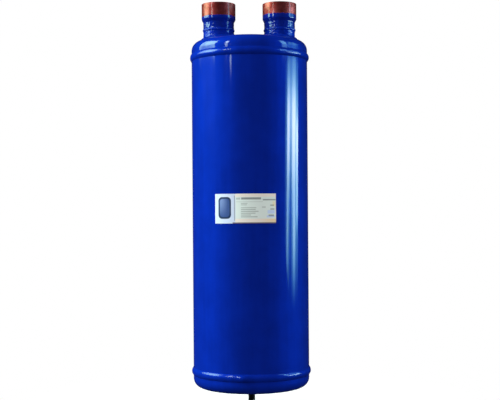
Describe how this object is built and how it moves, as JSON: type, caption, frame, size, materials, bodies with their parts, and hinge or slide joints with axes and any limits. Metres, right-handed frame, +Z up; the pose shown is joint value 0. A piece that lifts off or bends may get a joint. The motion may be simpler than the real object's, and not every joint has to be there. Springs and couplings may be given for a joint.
{
  "type": "suction line accumulator",
  "caption": "Upright welded steel vessel with shallow dished ends, a pair of copper solder sockets on top, a U tube inside and a threaded stud below, which holds liquid back from a compressor.",
  "frame": {"origin": "on the vessel's axis, at the seat of the mounting stud, where a bracket's plate meets the stud's collar", "axes": "+Z up along the vessel's axis, +X from the inlet to the outlet, -Y to the front with the label"},
  "size_m": [0.1306, 0.1306, 0.4448],
  "materials": {
    "blue_paint": "gloss royal blue paint",
    "copper": "drawn copper, dulled by brazing heat, its lower part under blue paint",
    "bare_steel": "bare drawn steel",
    "orifice_brass": "turned brass",
    "stud_steel": "blackened steel, bare at its end",
    "label_film": "pale printed film"
  },
  "bodies": {
    "root": {"shell_tube": "blue_paint", "top_head": "blue_paint", "bottom_head": "blue_paint", "top_girth_weld": "blue_paint", "bottom_girth_weld": "blue_paint", "inlet_nipple": "blue_paint", "outlet_nipple": "blue_paint", "inlet_nipple_weld": "blue_paint", "outlet_nipple_weld": "blue_paint", "inlet_braze_ring": "blue_paint", "outlet_braze_ring": "blue_paint", "inlet_socket": "copper", "outlet_socket": "copper", "inlet_deflector": "bare_steel", "u_tube": "bare_steel", "oil_orifice": "orifice_brass", "screen_collar": "bare_steel", "oil_screen": "bare_steel", "u_tube_brace": "bare_steel", "brace_weld": "bare_steel", "mounting_stud": "stud_steel", "stud_weld": "blue_paint", "rating_label": "label_film"}
  },
  "joints": []
}
